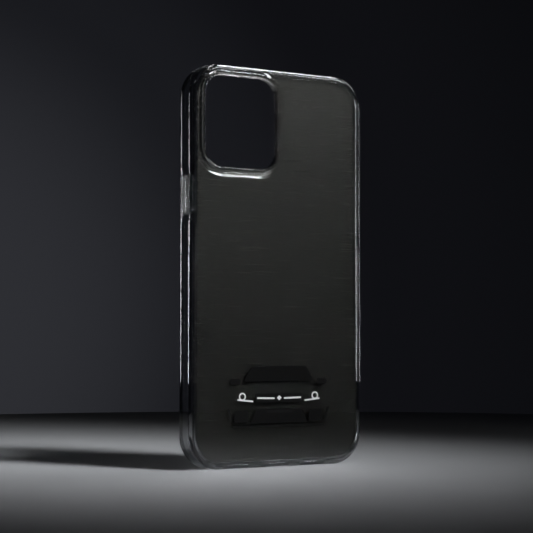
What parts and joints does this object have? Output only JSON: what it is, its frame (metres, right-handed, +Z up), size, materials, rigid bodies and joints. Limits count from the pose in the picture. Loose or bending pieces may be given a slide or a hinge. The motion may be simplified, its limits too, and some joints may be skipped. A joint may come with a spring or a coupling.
{
  "type": "phone case",
  "caption": "Clear phone case with a dark printed back, a car-front drawing, a raised camera guard, sprung button covers and open ports.",
  "frame": {"origin": "centre of the bounding box in X and Y, at the bottom edge that the case stands on", "axes": "+Z up along the case's length, +Y out of the side the phone goes into, -Y out of the printed back, +X to the right seen from the back, the volume side"},
  "size_m": [0.0826, 0.0126, 0.1646],
  "materials": {
    "soft_clear": "gloss",
    "guard_clear": "gloss",
    "hard_clear": "polished",
    "side_cover_clear": "satin",
    "volume_up_clear": "satin",
    "volume_down_clear": "satin",
    "film_dark": "satin",
    "ink_dark": "satin",
    "ink_grey": "satin",
    "ink_light": "satin"
  },
  "bodies": {
    "shell": {"back_plate": "hard_clear", "bumper_frame": "soft_clear", "camera_guard": "guard_clear", "back_film": "film_dark", "print_windscreen": "ink_dark", "print_mirror_left": "ink_dark", "print_mirror_right": "ink_dark", "print_grille": "ink_dark", "print_intake_centre": "ink_dark", "print_intake_left": "ink_dark", "print_intake_right": "ink_dark", "print_lower_lip": "ink_dark", "print_side_trim_left": "ink_dark", "print_side_trim_right": "ink_dark", "print_plate_strip": "ink_grey", "print_grille_bar_left": "ink_light", "print_grille_bar_right": "ink_light", "print_centre_mark": "ink_light", "print_lamp_left": "ink_light", "print_lamp_right": "ink_light"},
    "side_button": {"side_button_cover": "side_cover_clear"},
    "volume_up": {"volume_up_cover": "volume_up_clear"},
    "volume_down": {"volume_down_cover": "volume_down_clear"}
  },
  "joints": [
    {"name": "side_button_press", "type": "slide", "parent": "shell", "child": "side_button", "axis": [1, 0, 0], "range_m": [0, 0.0004], "stiffness_N_per_m": 3000},
    {"name": "volume_up_press", "type": "slide", "parent": "shell", "child": "volume_up", "axis": [-1, 0, 0], "range_m": [0, 0.0004], "stiffness_N_per_m": 3000},
    {"name": "volume_down_press", "type": "slide", "parent": "shell", "child": "volume_down", "axis": [-1, 0, 0], "range_m": [0, 0.0004], "stiffness_N_per_m": 3000}
  ]
}
